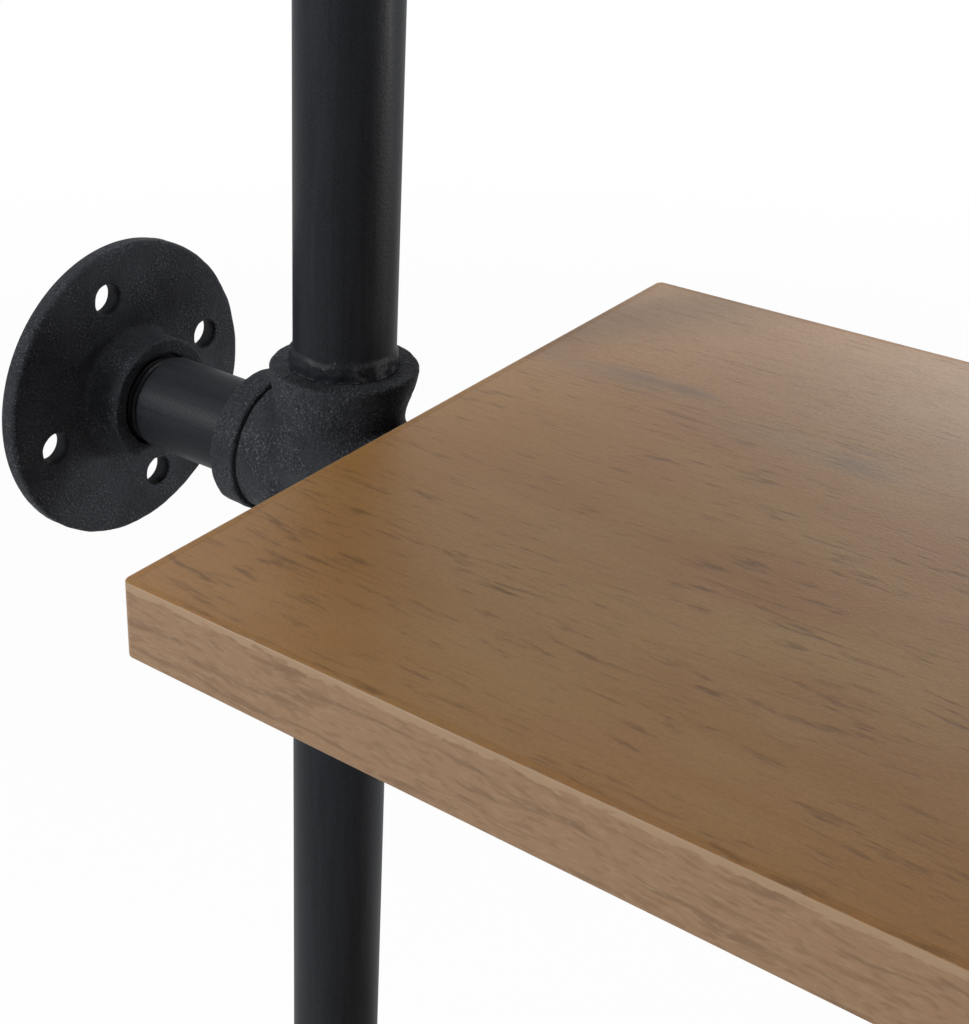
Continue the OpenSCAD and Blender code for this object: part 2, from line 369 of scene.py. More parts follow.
def carved(bm, cutters, name, operation="DIFFERENCE", bevel=0.0):
    """Cuts the cutters out of a shape, rounds its sharp edges by bevel, and gives what is left."""
    objects = []
    for shape in [bm, *cutters]:
        mesh = bpy.data.meshes.new(name)
        shape.to_mesh(mesh)
        shape.free()
        objects.append(bpy.data.objects.new(name, mesh))
        bpy.context.scene.collection.objects.link(objects[-1])
    for cutter in objects[1:]:
        modifier = objects[0].modifiers.new("cut", "BOOLEAN")
        modifier.operation = operation
        modifier.solver = "EXACT"
        modifier.object = cutter
    if bevel:
        modifier = objects[0].modifiers.new("soften", "BEVEL")
        modifier.width = bevel
        modifier.segments = 2
        modifier.limit_method = "ANGLE"
        modifier.angle_limit = math.radians(40)
    graph = bpy.context.evaluated_depsgraph_get()
    mesh = bpy.data.meshes.new_from_object(objects[0].evaluated_get(graph))
    left = bmesh.new()
    left.from_mesh(mesh)
    bpy.data.meshes.remove(mesh)
    for o in objects:
        bpy.data.meshes.remove(o.data)
    return left


def copies(shape, places, name):
    """One shape set down at each of the places, together in one bmesh."""
    one = bpy.data.meshes.new(name)
    shape.to_mesh(one)
    shape.free()
    together = bmesh.new()
    for place in places:
        copy = one.copy()
        copy.transform(place)
        together.from_mesh(copy)
        bpy.data.meshes.remove(copy)
    bpy.data.meshes.remove(one)
    return together


def piece(name, mesh, matrix, material, slot, *nodes):
    """A piece of the unit: a mesh in its place, with its finish, that replaces the named nodes."""
    made = bpy.data.objects.new(name, mesh)
    bpy.context.scene.collection.objects.link(made)
    made.matrix_world = matrix
    if not mesh.materials:
        mesh.materials.append(material)
    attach(made, "root")
    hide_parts(*nodes)
    return made


# Shader helpers


class Wire:
    """A node's output that stands in an expression: each sum adds a Math or Vector Math node."""

    def __init__(self, finish, socket):
        self.finish = finish
        self.socket = socket

    def __add__(self, other):
        return self.finish.math("ADD", self, other)

    def __sub__(self, other):
        return self.finish.math("SUBTRACT", self, other)

    def __rsub__(self, other):
        return self.finish.math("SUBTRACT", other, self)

    def __mul__(self, other):
        return self.finish.math("MULTIPLY", self, other)

    def __abs__(self):
        return self.finish.math("ABSOLUTE", self)

    __radd__ = __add__
    __rmul__ = __mul__


class Finish:
    """A node tree that a finish is written into."""

    def __init__(self, tree):
        self.tree = tree
        tree.nodes.clear()

    def node(self, kind, settings=None, sockets=None, output=0):
        """Adds a node: its settings, then its sockets' values or links. Gives one output."""
        made = self.tree.nodes.new(kind)
        for key, value in (settings or {}).items():
            setattr(made, key, value)
        for key, value in (sockets or {}).items():
            socket = made.inputs[key]
            if isinstance(value, Wire):
                self.tree.links.new(value.socket, socket)
            elif socket.type == "RGBA":
                socket.default_value = (*value[:3], 1.0)
            elif socket.type == "VECTOR" and isinstance(value, (int, float)):
                socket.default_value = (value, value, value)
            else:
                socket.default_value = value
        return Wire(self, made.outputs[output]) if made.outputs else None

    def math(self, operation, *values):
        """A Math node on numbers, or a Vector Math node where a vector takes part."""
        vector = any(isinstance(v, Wire) and v.socket.type == "VECTOR" for v in values)
        kind = "ShaderNodeVectorMath" if vector else "ShaderNodeMath"
        return self.node(kind, {"operation": operation}, dict(enumerate(values)))

    def place(self):
        """Where a point lies on its piece, in mm: plain, and set off by the piece's place."""
        own = self.node("ShaderNodeTexCoord", output=3) * IN_MM
        stands = self.node("ShaderNodeObjectInfo", output=0)
        return own, own + stands * (PRINT_SHIFT * IN_MM)

    def parts(self, vector):
        """The X, Y and Z of a vector."""
        split = self.node("ShaderNodeSeparateXYZ", None, {0: vector}).socket.node
        return [Wire(self, s) for s in split.outputs]

    def vector(self, x, y, z):
        """A vector from its parts."""
        return self.node("ShaderNodeCombineXYZ", None, {0: x, 1: y, 2: z})

    def grain(self, vector, scale, detail=2.0, roughness=0.5):
        """Soft noise from 0 to 1, with about scale bumps to the unit."""
        return self.node(
            "ShaderNodeTexNoise",
            None,
            {"Vector": vector, "Scale": scale, "Detail": detail, "Roughness": roughness},
        )

    def cells(self, vector, scale):
        """Distance to the nearest of scattered points."""
        return self.node("ShaderNodeTexVoronoi", None, {"Vector": vector, "Scale": scale})

    def step(self, value, low, high, start=0.0, end=1.0):
        """A smooth step: start below low, end above high."""
        return self.node(
            "ShaderNodeMapRange",
            {"interpolation_type": "SMOOTHSTEP"},
            {"Value": value, "From Min": low, "From Max": high, "To Min": start, "To Max": end},
        )

    def fall(self, value, low, high):
        """A smooth step down: 1 below low, 0 above high."""
        return self.step(value, low, high, 1.0, 0.0)

    def within(self, value, rise, drop):
        """1 between a rise and a drop, each from one value to another, and 0 outside."""
        return self.step(value, *rise) * self.fall(value, *drop)

    def hypot(self, a, b):
        """The long side of a right triangle, from its two short ones."""
        return self.math("SQRT", a * a + b * b)

    def mix(self, factor, a, b):
        """One colour into another."""
        return self.node("ShaderNodeMix", {"data_type": "RGBA"}, {0: factor, 6: a, 7: b}, output=2)

    def bump(self, height):
        """A normal from a height in millimetres."""
        return self.node("ShaderNodeBump", None, {"Height": height, "Distance": MM})

    def seen(self):
        """1 for rays of the camera, reflections and glass, and 0 for the light on things."""
        path = self.node("ShaderNodeLightPath").socket.node
        camera, glossy, through = (
            Wire(self, path.outputs[f"Is {name} Ray"])
            for name in ("Camera", "Glossy", "Transmission")
        )
        return self.math("MAXIMUM", camera, self.math("MAXIMUM", glossy, through))

    def paint(self, sockets):
        """The Principled shader that ends a surface."""
        shader = self.node("ShaderNodeBsdfPrincipled", None, sockets)
        self.node("ShaderNodeOutputMaterial", None, {"Surface": shader})


def shade(base, factor):
    """A colour made darker or lighter."""
    return [v * factor for v in base]


def in_plan(x, y, way):
    """How far a point lies out in a plan direction."""
    return x * way[0] + y * way[1]


def finish(name, write):
    """The material of that name, written once."""
    made = bpy.data.materials.get(name)
    if made is None:
        made = bpy.data.materials.new(name)
        made.use_nodes = True
        write(Finish(made.node_tree), bpy.context.scene.shelf_finishes)
    return made


# Finishes


def write_cast_black(f, c):
    """Painted sand casting: orange peel, bright grit partly made brighter as painted glints, dark
    pits partly painted shade, rough mouths, a rough flank painted lighter towards the back lamp,
    faint clouds.
    """
    own, at = f.place()
    x, y, z = f.parts(own)
    peel = f.grain(at, 0.52, 2.0, 0.55)
    grit = f.grain(at, 1.7, 2.0, 0.65)
    cloud = f.grain(at, 0.08, 3.0)
    coarse = f.step(f.grain(at, 0.11, 2.0), 0.38, 0.60, 0.3, 1.0)

    # Painted light: the rough flank that faces the back lamp is painted lighter and grainier, on
    # top of its real rough bump; the rough mouths are real texture
    lit_flank = f.step(in_plan(x, y, FLANK), 8.0, 13.0) * f.step(abs(z), 15.0, 20.0)
    lit_flank = lit_flank * f.step(f.grain(at, 0.16, 2.0), 0.3, 0.5)
    mouth_z = REACH * IN_MM
    mouth = f.step(z, mouth_z - 0.8, mouth_z - 0.1) * f.step(f.grain(at, 0.22, 2.0), 0.38, 0.52)
    sandy_and_lit = (lit_flank + mouth) * 0.9 * f.fall(f.cells(at, 1.5), 0.05, 0.55)

    # Painted shade: the walls of the screw holes are painted far darker, partly as bare iron where
    # the paint does not reach, partly as shade in the holes
    past_circle = f.math("MAXIMUM", abs(x), abs(y)) - HOLE_CIRCLE * IN_MM
    from_hole = f.hypot(past_circle, f.math("MINIMUM", abs(x), abs(y)))
    hole_shade = f.fall(from_hole, HOLE_R * IN_MM + 0.1, HOLE_R * IN_MM + 0.5)
    hole_shade = hole_shade * f.within(z, (-0.1, 0.0), (4.6, 5.2))

    # The bright specks are partly painted glints and the dark pits partly painted shade, over the
    # real grit
    speck = f.step(grit, 0.53, 0.68) * coarse
    pits = f.fall(grit, 0.32, 0.46) * coarse + sandy_and_lit * f.fall(grit, 0.40, 0.55)
    tone = f.mix(f.step(cloud, 0.3, 0.7), shade(c.iron, 0.8), shade(c.iron, 1.25))
    tone = f.mix(speck * 0.85 + sandy_and_lit * 0.35, tone, shade(c.iron, 3.4))
    tone = f.mix(pits * 0.80, tone, shade(c.iron, 0.30))
    tone = f.mix(hole_shade * 0.8, tone, shade(c.iron, 0.2))
    f.paint(
        {
            "Base Color": tone,
            "Roughness": f.step(cloud, 0.3, 0.7, 0.48, 0.58) + speck * 0.06,
            "Specular IOR Level": 0.03,
            "Normal": f.bump(peel * 0.36 + grit * 0.28 + sandy_and_lit * 0.36),
        }
    )


def write_pipe_black(f, c):
    """Satin painted pipe: faint streaks, fine pebble, worn paint at the seal ring, dark thread."""
    own, at = f.place()
    x, y, z = f.parts(own)
    streak = f.grain(at * (1.0, 1.0, 0.05), 0.5, 3.0)
    pebble = f.grain(at, 1.25, 2.0, 0.6)
    fine = f.step(f.grain(at, 2.2, 2.0, 0.6), 0.46, 0.64)
    crumbs = f.step(f.grain(at, 1.15, 2.0, 0.7), 0.57, 0.66)
    blotch = f.step(f.grain(at, 0.32, 3.0, 0.6), 0.48, 0.66)

    ahead = in_plan(x, y, FRONT)
    aside = in_plan(x, y, ASIDE)
    front = f.step(ahead, 5.0, 11.0) * f.within(aside, (-6.0, -3.0), (2.5, 5.5))
    right = f.step(aside, 1.5, 7.0) * f.step(ahead, 1.0, 6.0)
    ring_top = f.within(z, (1.8, 3.4), (4.8, 6.8)) * front * crumbs
    ring_side = f.within(z, (-0.4, 0.8), (3.6, 6.2)) * right
    ring_foot = f.within(z, (0.0, 0.1), (0.25, 0.5)) * f.step(blotch, 0.1, 0.6)
    wear = ring_top * 0.6 + ring_side * (blotch * 0.6 + crumbs * 0.3) + ring_foot * 0.4

    thread_end = (OPEN_THREAD + bpy.context.scene.shelf_pipes.thread_shown) * IN_MM
    thread = f.fall(z, thread_end - 0.6, thread_end)
    tone = f.mix(f.step(streak, 0.3, 0.7), shade(c.pipe, 0.82), shade(c.pipe, 1.2))
    tone = f.mix(fine * 0.45, tone, shade(c.pipe, 2.0))
    tone = f.mix(wear * 0.55, tone, c.dust)
    tone = f.mix(thread * 0.8, tone, shade(c.pipe, 0.2))
    f.paint(
        {
            "Base Color": tone,
            "Roughness": f.step(streak, 0.3, 0.7, 0.43, 0.51) + wear * 0.2,
            "Specular IOR Level": 0.09,
            "Normal": f.bump(pebble * 0.075 + wear * 0.12),
        }
    )


def write_strap_black(f, c):
    """Black zinc on pressed steel: fine pebble, brighter scuffs."""
    at = f.place()[1]
    scuff = f.step(f.grain(at * (0.3, 1.0, 1.0), 0.9, 3.0, 0.65), 0.55, 0.75)
    f.paint(
        {
            "Base Color": f.mix(scuff * 0.5, c.steel, shade(c.steel, 2.2)),
            "Metallic": 0.35,
            "Roughness": scuff * -0.08 + 0.42,
            "Specular IOR Level": 0.35,
            "Normal": f.bump(f.grain(at, 2.4, 2.0) * 0.02),
        }
    )


def write_plug_black(f, c):
    """Moulded plastic: even, matte, with a fine spark finish."""
    at = f.place()[1]
    spark = f.grain(at, 4.0, 2.0)
    f.paint(
        {
            "Base Color": f.mix(f.grain(at, 0.2, 2.0), shade(c.plug, 0.8), shade(c.plug, 1.3)),
            "Roughness": f.step(spark, 0.3, 0.7, 0.52, 0.62),
            "Specular IOR Level": 0.4,
            "Normal": f.bump(spark * 0.02),
        }
    )


def oak_print(f, c):
    """The boards' decor: wandering grain along X, tinted patches, soft flecks, grey marks; with
    painted shade along the long edges and at the ends, and a partly painted sheen that greys the
    back.
    """
    own, at = f.place()
    x, y, z = f.parts(at)
    along, across = f.parts(own)[:2]
    wander = f.grain(at * (0.25, 1.0, 1.0), 0.028, 2.0) * 14.0
    run = f.vector(x, y + wander, z)
    patch = f.grain(run * (0.35, 1.0, 1.0), 0.030, 3.0, 0.55)
    ruddy = f.grain(run * (0.40, 1.0, 1.0) + 90.0, 0.045, 2.0)
    hair = f.grain(run * (0.05, 1.0, 1.0), 1.2, 3.0, 0.6)
    crowd = f.grain(run * (0.4, 1.0, 1.0), 0.05, 2.0)
    speck = f.grain(at, 1.2, 2.0, 0.65)

    calm = f.step(across, -20.0, 70.0, 1.0, 0.5)
    flecks = f.grain(run * (0.20, 1.0, 1.0), 0.50, 3.0, 0.55) + crowd * 0.28 + hair * 0.10
    flecks = f.step(flecks, 0.72, 0.98) * calm
    dashes = f.grain(run * (0.12, 1.0, 1.0), 0.85, 3.0, 0.5) + crowd * 0.20
    dashes = f.step(dashes, 0.68, 0.88) * calm

    half_long = BOARD_SIZE.x / 2 * IN_MM
    half_wide = BOARD_SIZE.y / 2 * IN_MM
    # Painted shade: a band along the front and back edges is painted warmer and darker, standing
    # in for sheen missing there
    edge = f.step(abs(across), half_wide - 15.0, half_wide - 2.0)
    # Painted shade: the ends by the posts are painted warmer and darker, standing in for the
    # posts' shadow and dark reflection
    end = f.step(abs(along), half_long - 90.0, half_long - 10.0)
    dusk = f.fall(speck, 0.38, 0.60) * f.step(across, -10.0, 60.0, 0.12, 0.24)
    tone = f.mix(f.step(patch, 0.34, 0.66), c.oak_warm, c.oak_pale)
    for share, tint in (
        (f.step(ruddy, 0.48, 0.70, 0.0, 0.40), c.oak_red),
        (edge * 0.4, c.oak_warm),
        (end * 0.6, c.oak_warm),
        # partly print, partly painted sheen towards the back
        (f.step(across, -10.0, 95.0, 0.0, 0.30), c.oak_grey_and_sheen),
        (f.step(hair, 0.32, 0.52, 0.09, 0.0), c.oak_dark),
        (f.step(hair, 0.54, 0.75, 0.0, 0.14), c.oak_pale),
        (dusk, c.oak_dark),
        (dashes * 0.36, c.oak_dark),
        (flecks * 0.80, c.oak_dark),
    ):
        tone = f.mix(share, tone, tint)

    lift = f.parts(at - own)[2] * (1.0 / PRINT_SHIFT) - BOARD_Z * IN_MM
    ragged = f.grain(run * (0.15, 1.0, 1.0), 0.6, 2.0) * 1.1 - 0.55
    for mark_x, mark_y, long, wide, strength in GREY_MARKS:
        dx = (along - lift * 0.4 - mark_x) * (1.0 / long)
        dy = (across + lift * 0.12 - mark_y) * (1.0 / wide)
        near = f.hypot(dx, dy) + ragged
        tone = f.mix(f.step(near, 0.1, 1.1, strength, 0.0), tone, c.oak_grey)
    return tone, hair, flecks, speck


def write_oak_board(f, c):
    """The boards' print under a satin film, with a fine pebble and flecks pressed in."""
    tone, hair, flecks, speck = oak_print(f, c)
    f.paint(
        {
            "Base Color": tone,
            "Roughness": f.step(hair, 0.3, 0.7, 0.41, 0.36) + flecks * 0.05,
            "Specular IOR Level": 0.36,
            "Normal": f.bump(hair * 0.02 + speck * 0.06 - flecks * 0.03),
        }
    )


def write_oak_edge(f, c):
    """Edge band: short dashes, a pale ragged strip below the top, and the boards' print on top."""
    own, at = f.place()
    x, y, z = f.parts(own)
    facing = f.parts(f.node("ShaderNodeNewGeometry", output=1))
    at_end = f.step(abs(facing[0]), 0.4, 0.6)
    other = at_end * 40.0
    along = x * (1.0 - at_end) + y * at_end
    drift = z + f.grain(at, 0.055, 2.0) * 5.0
    short = f.vector(along * 0.24 + other, drift + along * 0.04, 7.0)
    streak = f.grain(f.vector(along * 0.10 + other, drift, 0.0), 0.45, 2.0, 0.5)
    dashes = f.grain(short, 0.85, 2.0, 0.55)
    fine = f.grain(short + 30.0, 1.3, 2.0, 0.55)
    tone = f.mix(f.step(streak, 0.32, 0.48, 0.72, 0.0), c.edge_face, c.edge_dark)
    tone = f.mix(f.step(dashes, 0.35, 0.48, 0.45, 0.0), tone, c.edge_dark)
    tone = f.mix(f.step(fine, 0.50, 0.68, 0.0, 0.50), tone, c.edge_pale)

    half_high = BANDED_SIZE.z / 2 * IN_MM
    lower = f.grain(f.vector(along * 0.16, z * 0.5, other), 0.9, 3.0, 0.6)
    strip = f.step(z + lower * 6.0, half_high + 1.0, half_high + 1.8)
    tone = f.mix(strip * 0.85, tone, shade(c.edge_pale, 1.08))

    inset_x = BANDED_SIZE.x / 2 * IN_MM - abs(x)
    inset_y = BANDED_SIZE.y / 2 * IN_MM - abs(y)
    inset = f.math("MINIMUM", inset_x, inset_y) - f.grain(at, 0.7, 2.0) * 2.6 + 1.2
    print_kept = f.step(inset, -0.15, 0.10) * f.step(abs(facing[2]), 0.80, 0.95)
    tone = f.mix(print_kept, tone, oak_print(f, c)[0])
    f.paint(
        {
            "Base Color": tone,
            "Roughness": f.step(streak, 0.3, 0.7, 0.50, 0.44),
            "Specular IOR Level": 0.28,
            "Normal": f.bump(streak * 0.03 + fine * 0.02),
        }
    )


# Shapes of the pieces


def outside(bm, low, high):
    """The vertices on a pipe's outer face between two heights, each with the way straight out."""
    for v in bm.verts:
        out = math.hypot(v.co.x, v.co.y)
        if out > PIPE_R - TOUCH and low <= v.co.z < high:
            yield v, Vector((v.co.x, v.co.y, 0)) / out


def pipe_shape(low, high, p, ringed=False, thread=None):
    """A pipe along Z, with a seal ring from nought up, or a thread left open from a height up."""
    bore = PIPE_R - p.wall
    r = p.end_round
    ring_row, thread_row = 0.35 * MM, 0.2 * MM
    rows = []
    if ringed:
        rows = [-0.2 * MM, *(i * ring_row for i in range(22))]
    if thread is not None:
        rows = [thread + i * thread_row for i in range(-11, 19)]
    outline = [
        (bore, low + r),
        *arc((bore + r, low + r), r, 180, 270, 3)[1:],
        *arc((PIPE_R - r, low + r), r, 270, 360, 4),
        *((PIPE_R, z) for z in rows),
        *arc((PIPE_R - r, high - r), r, 0, 90, 4),
        *arc((bore + r, high - r), r, 90, 180, 3),
    ]
    bm = turned(outline, PIPE_SIDES)
    if ringed:
        for v, out in outside(bm, -TOUCH, 7.4 * MM):
            top = p.ring_height + 0.5 * MM * noise.noise(out * 2.2)
            lump = 0.25 * MM * noise.noise(Vector(v.co) / (1.6 * MM))
            depth = p.ring_depth * (0.85 - 0.35 * out.x)
            fade = 1 - ease(v.co.z, top - 1.0 * MM, top + 0.8 * MM)
            v.co += out * float((depth + lump) * fade)
    if thread is not None:
        end = thread + p.thread_shown
        for v, out in outside(bm, thread - 2.3 * MM, thread + 4 * MM):
            turns = v.co.z / THREAD_PITCH + math.atan2(out.y, out.x) / (2 * math.pi)
            fade = 1 - ease(v.co.z, end - 0.5 * MM, end)
            fade *= ease(v.co.z, thread - 2.3 * MM, thread - 1.6 * MM)
            v.co -= out * float(p.thread_depth * (0.6 + 0.8 * abs(turns % 1.0 - 0.5)) * fade)
    return bm


def cross_gap(points, c):
    """How far points lie outside the cross's skin: its upright and level bodies run together."""
    x, y, z = np.abs(points).T
    towards_board = points[:, 0] / np.maximum(np.hypot(x, y), MM)
    waist = c.upright_radius - c.drawn_in * ease(towards_board, 0.1, 0.8)
    flare = (MOUTH_R - waist) * ease(z, c.flare_start, REACH) ** 0.9
    barrel = c.barrel * ease(x, 6 * MM, 13 * MM) * (1 - 0.5 * ease(x, 14 * MM, 21.5 * MM))
    boardward = ease(points[:, 0], 7 * MM, 13 * MM) * (1 - ease(points[:, 0], 17 * MM, 21.5 * MM))
    barrel = barrel - (c.drawn_in + c.barrel) * boardward
    gaps = np.array(
        [
            np.hypot(x, y) - waist - flare,
            np.hypot(y, z) - c.level_radius - barrel,
            np.linalg.norm(points, axis=1) - c.level_radius,
        ]
    )
    return -c.blend * np.log(np.exp(gaps / -c.blend).sum(axis=0))


def settle(points, gap, rounds=7, h=0.01 * MM):
    """Moves points along the gap's slope until they lie on the skin."""
    for _ in range(rounds):
        rises = [(gap(points + d) - gap(points - d)) / (2 * h) for d in np.eye(3) * h]
        slope = np.stack(rises, axis=1)
        points = points - slope * (gap(points) / (slope**2).sum(axis=1))[:, None]
    return points


def cross_shape(c, p):
    """The four-way fitting: each outlet is a tube of rings, from its mitres to its mouth."""
    skin_rings, bore_rings = 20, 4
    angles = 2 * math.pi * np.arange(CROSS_SIDES) / CROSS_SIDES
    shared = (c.upright_radius + c.level_radius) / 2
    bore = PIPE_R - p.wall
    shoulder = REACH - THREAD - SHOULDER
    e = c.edge_round
    lip = 0.5 * MM
    corner = arc((MOUTH_R - e, REACH - e), e, 0, 90, 5)
    band = REACH - c.band_length
    mouths = {
        "upright": (REACH - e, corner[1:]),
        "level": (
            band - c.groove_width,
            [
                (c.level_radius + 0.05 * MM, band - 0.75 * c.groove_width),
                (c.level_radius - 0.15 * MM, band - 0.3 * c.groove_width),
                (c.level_radius, band),
                *arc((MOUTH_R - e, band + e), e, -90, 0, 5),
                *stretch((MOUTH_R, band + e), (MOUTH_R, REACH - e), 8),
                *corner,
            ],
        ),
    }
    inward = [
        *stretch((MOUTH_R - e, REACH), (c.socket_radius + lip, REACH), 5),
        (c.socket_radius + lip, REACH),
        (c.socket_radius, REACH - lip),
        (c.socket_radius, shoulder),
        (bore, shoulder),
    ]
    points, faces = [], []
    for quarter in range(4):
        end, mouth = mouths["level" if quarter % 2 else "upright"]
        rings = []
        for i in range(skin_rings + 1):
            foot = shared * np.abs(np.cos(angles))
            rings.append((np.full(CROSS_SIDES, shared), foot + (end - foot) * i / skin_rings))
        rings += [(np.full(CROSS_SIDES, r), np.full(CROSS_SIDES, s)) for r, s in mouth + inward]
        for i in range(1, bore_rings + 1):
            foot = bore * np.abs(np.cos(angles))
            down = shoulder + (foot - shoulder) * i / bore_rings
            rings.append((np.full(CROSS_SIDES, bore), down))
        tube = np.array(
            [np.stack([r * np.cos(angles), r * np.sin(angles), s], axis=1) for r, s in rings]
        ).reshape(-1, 3)
        tube = tube @ np.array(Matrix.Rotation(quarter * math.pi / 2, 3, "Y")).T
        skin = (skin_rings + 1) * CROSS_SIDES
        tube[:skin] = settle(tube[:skin], lambda q: cross_gap(q, c))
        start = len(points)
        points += tube.tolist()
        for j in range(len(rings) - 1):
            a, b = start + j * CROSS_SIDES, start + (j + 1) * CROSS_SIDES
            for i in range(CROSS_SIDES):
                k = (i + 1) % CROSS_SIDES
                faces.append((a + i, a + k, b + k, b + i))
    mesh = bpy.data.meshes.new("cross")
    mesh.from_pydata(points, [], faces)
    bm = bmesh.new()
    bm.from_mesh(mesh)
    bpy.data.meshes.remove(mesh)
    bmesh.ops.remove_doubles(bm, verts=bm.verts, dist=0.005 * MM)
    bmesh.ops.recalc_face_normals(bm, faces=bm.faces)

    def outer(co):
        """Whether a point lies outside both sockets."""
        near, far = sorted((math.hypot(co.x, co.y), math.hypot(co.y, co.z)))
        return near > c.socket_radius + CLEAR_OF_SOCKET and far > c.socket_radius + 1.5 * MM

    roughen(bm, c.skin_depth, CROSS_GRAIN, outer)
    return bm


def flange_shape(c):
    """A round flange along +Z from nought, with four holes. The first hole lies along +X."""
    e = c.rim_round
    back = 0.9 * MM
    soft = 0.6 * MM
    sink = 0.6 * MM
    hub, fillet, plate = c.hub_radius, c.foot_round, c.plate
    foot = hub + 0.2 * MM
    outline = [
        (c.socket_radius, 0.0),
        *stretch((c.socket_radius, 0.0), (FLANGE_R - back, 0.0), 10),
        *arc((FLANGE_R - back, back), back, 270, 360, 3),
        (FLANGE_R, plate / 2),
        *arc((FLANGE_R - e, plate - e), e, 0, 90, 6),
        *stretch((FLANGE_R - e, plate), (foot + fillet, plate), 20),
        *arc((foot + fillet, plate + fillet), fillet, 270, 180, 9),
        *stretch((foot, plate + fillet), (hub, FLANGE_H - soft), 9),
        *arc((hub - soft, FLANGE_H - soft), soft, 0, 90, 4),
        *stretch((hub - soft, FLANGE_H), (c.socket_radius + sink, FLANGE_H - 0.4 * MM), 3),
        (c.socket_radius + sink, FLANGE_H - 0.5 * MM),
        (c.socket_radius + 0.35 * sink, FLANGE_H - 1.2 * sink),
        (c.socket_radius, FLANGE_H - 3 * sink),
    ]
    lip = 0.7 * MM
    relief = 0.35 * MM
    bore = [
        (0, -1 * MM),
        (c.hole_radius + relief, -1 * MM),
        (c.hole_radius + relief, 0.1 * MM),
        (c.hole_radius, 0.5 * MM),
        *arc((c.hole_radius + lip, plate - lip), lip, 180, 100, 4),
        (c.hole_radius + lip, plate + 1 * MM),
        (0, plate + 1 * MM),
    ]
    cutters = []
    for quarter in range(4):
        angle = quarter * math.pi / 2
        cutters.append(turned(bore, 48))
        move = Vector((c.hole_circle * math.cos(angle), c.hole_circle * math.sin(angle), 0))
        bmesh.ops.translate(cutters[-1], verts=cutters[-1].verts, vec=move)
    bm = carved(turned(outline, FLANGE_SIDES), cutters, "flange")
    clear = c.socket_radius + CLEAR_OF_SOCKET
    roughen(
        bm,
        c.skin_depth,
        FLANGE_GRAIN,
        lambda co: math.hypot(co.x, co.y) > clear and co.z > 0.5 * MM,
    )
    return bm


def cap_shape(c):
    """A post cap along +Z, with its mouth at nought: socket, band and domed crown."""
    height = span("left_top_cap").z
    depth = THREAD + SHOULDER
    e = c.edge_round
    lip = 0.4 * MM
    fillet = 0.5 * MM
    brow = 0.8 * MM
    band = c.band_length
    wall_r = c.upright_radius + 0.5 * MM
    shoulder = height - DOME
    dome_r = (wall_r**2 + DOME**2) / (2 * DOME)
    reach = math.degrees(math.asin((wall_r - brow) / dome_r))
    outline = [
        (0, depth),
        (c.socket_radius, depth),
        (c.socket_radius, lip),
        (c.socket_radius + lip, 0),
        *arc((MOUTH_R - e, e), e, 270, 360, 5),
        *stretch((MOUTH_R, e), (MOUTH_R, band - e), 6),
        *arc((MOUTH_R - e, band - e), e, 0, 90, 5),
        *arc((wall_r + fillet, band + fillet), fillet, 270, 180, 3),
        *stretch((wall_r, band + fillet), (wall_r, shoulder), 7),
        *arc((wall_r - brow, shoulder), brow, 0, 60, 3),
        *arc((0, height - dome_r), dome_r, 90 - reach, 90, 14)[:-1],
        (0, height),
    ]
    bm = turned(outline, CAP_SIDES)
    clear = c.socket_radius + CLEAR_OF_SOCKET
    roughen(
        bm,
        c.skin_depth,
        CAP_GRAIN,
        lambda co: co.z > depth + MM or math.hypot(co.x, co.y) > clear,
    )
    return bm


def plug_shape(p):
    """An arm plug along +Z: the head stands on nought and the ribbed stem goes down."""
    bore = PIPE_R - p.wall
    root, rib = bore - 0.7 * MM, bore - 0.25 * MM
    e = 0.8 * MM
    ribs = []
    for i in range(3):
        low = -PLUG_STEM + 1.2 * MM + i * 3 * MM
        ribs += [(root, low), (rib, low + 0.5 * MM), (rib, low + 1.1 * MM), (root, low + 1.5 * MM)]
    outline = [
        (0, -PLUG_STEM),
        (bore - 1.1 * MM, -PLUG_STEM),
        (root, -PLUG_STEM + 0.5 * MM),
        *ribs,
        (bore - 0.5 * MM, 0),
        (PIPE_R, 0),
        *arc((PIPE_R - e, p.plug_head - e), e, 0, 90, 6),
        *arc((PIPE_R - 3 * MM, p.plug_head + 0.1 * MM), 0.35 * MM, 0, -180, 6),
        (0, p.plug_head),
    ]
    return turned(outline, PLUG_SIDES)


def strap_places(s):
    """How far the middles of an arm's two straps lie from the middle of the cross."""
    return REACH + s.inset, ARM_END - s.inset


def ear_y(s):
    """How far the middle and the tip of a strap's ear lie from the arm's middle."""
    outer = PIPE_R + PLAY + s.thickness
    return outer + s.ear / 2, outer + s.ear


def strap_outline(s):
    """Half a ring under the arm, two legs and two ears bent outward, in (y, z)."""
    inner = PIPE_R + PLAY
    outer = inner + s.thickness
    bend = s.bend + s.thickness
    top = PIPE_R
    tip = ear_y(s)[1]
    half = [
        *arc((0, 0), inner, -90, 0, 24),
        *arc((inner + bend, top - bend), bend, 180, 90, 6),
        (tip, top),
        (tip, top - s.thickness),
        *arc((inner + bend, top - bend), s.bend, 90, 180, 6),
        *arc((0, 0), outer, 0, -90, 24),
    ]
    return half[:-1] + [(-y, z) for y, z in reversed(half[1:])]


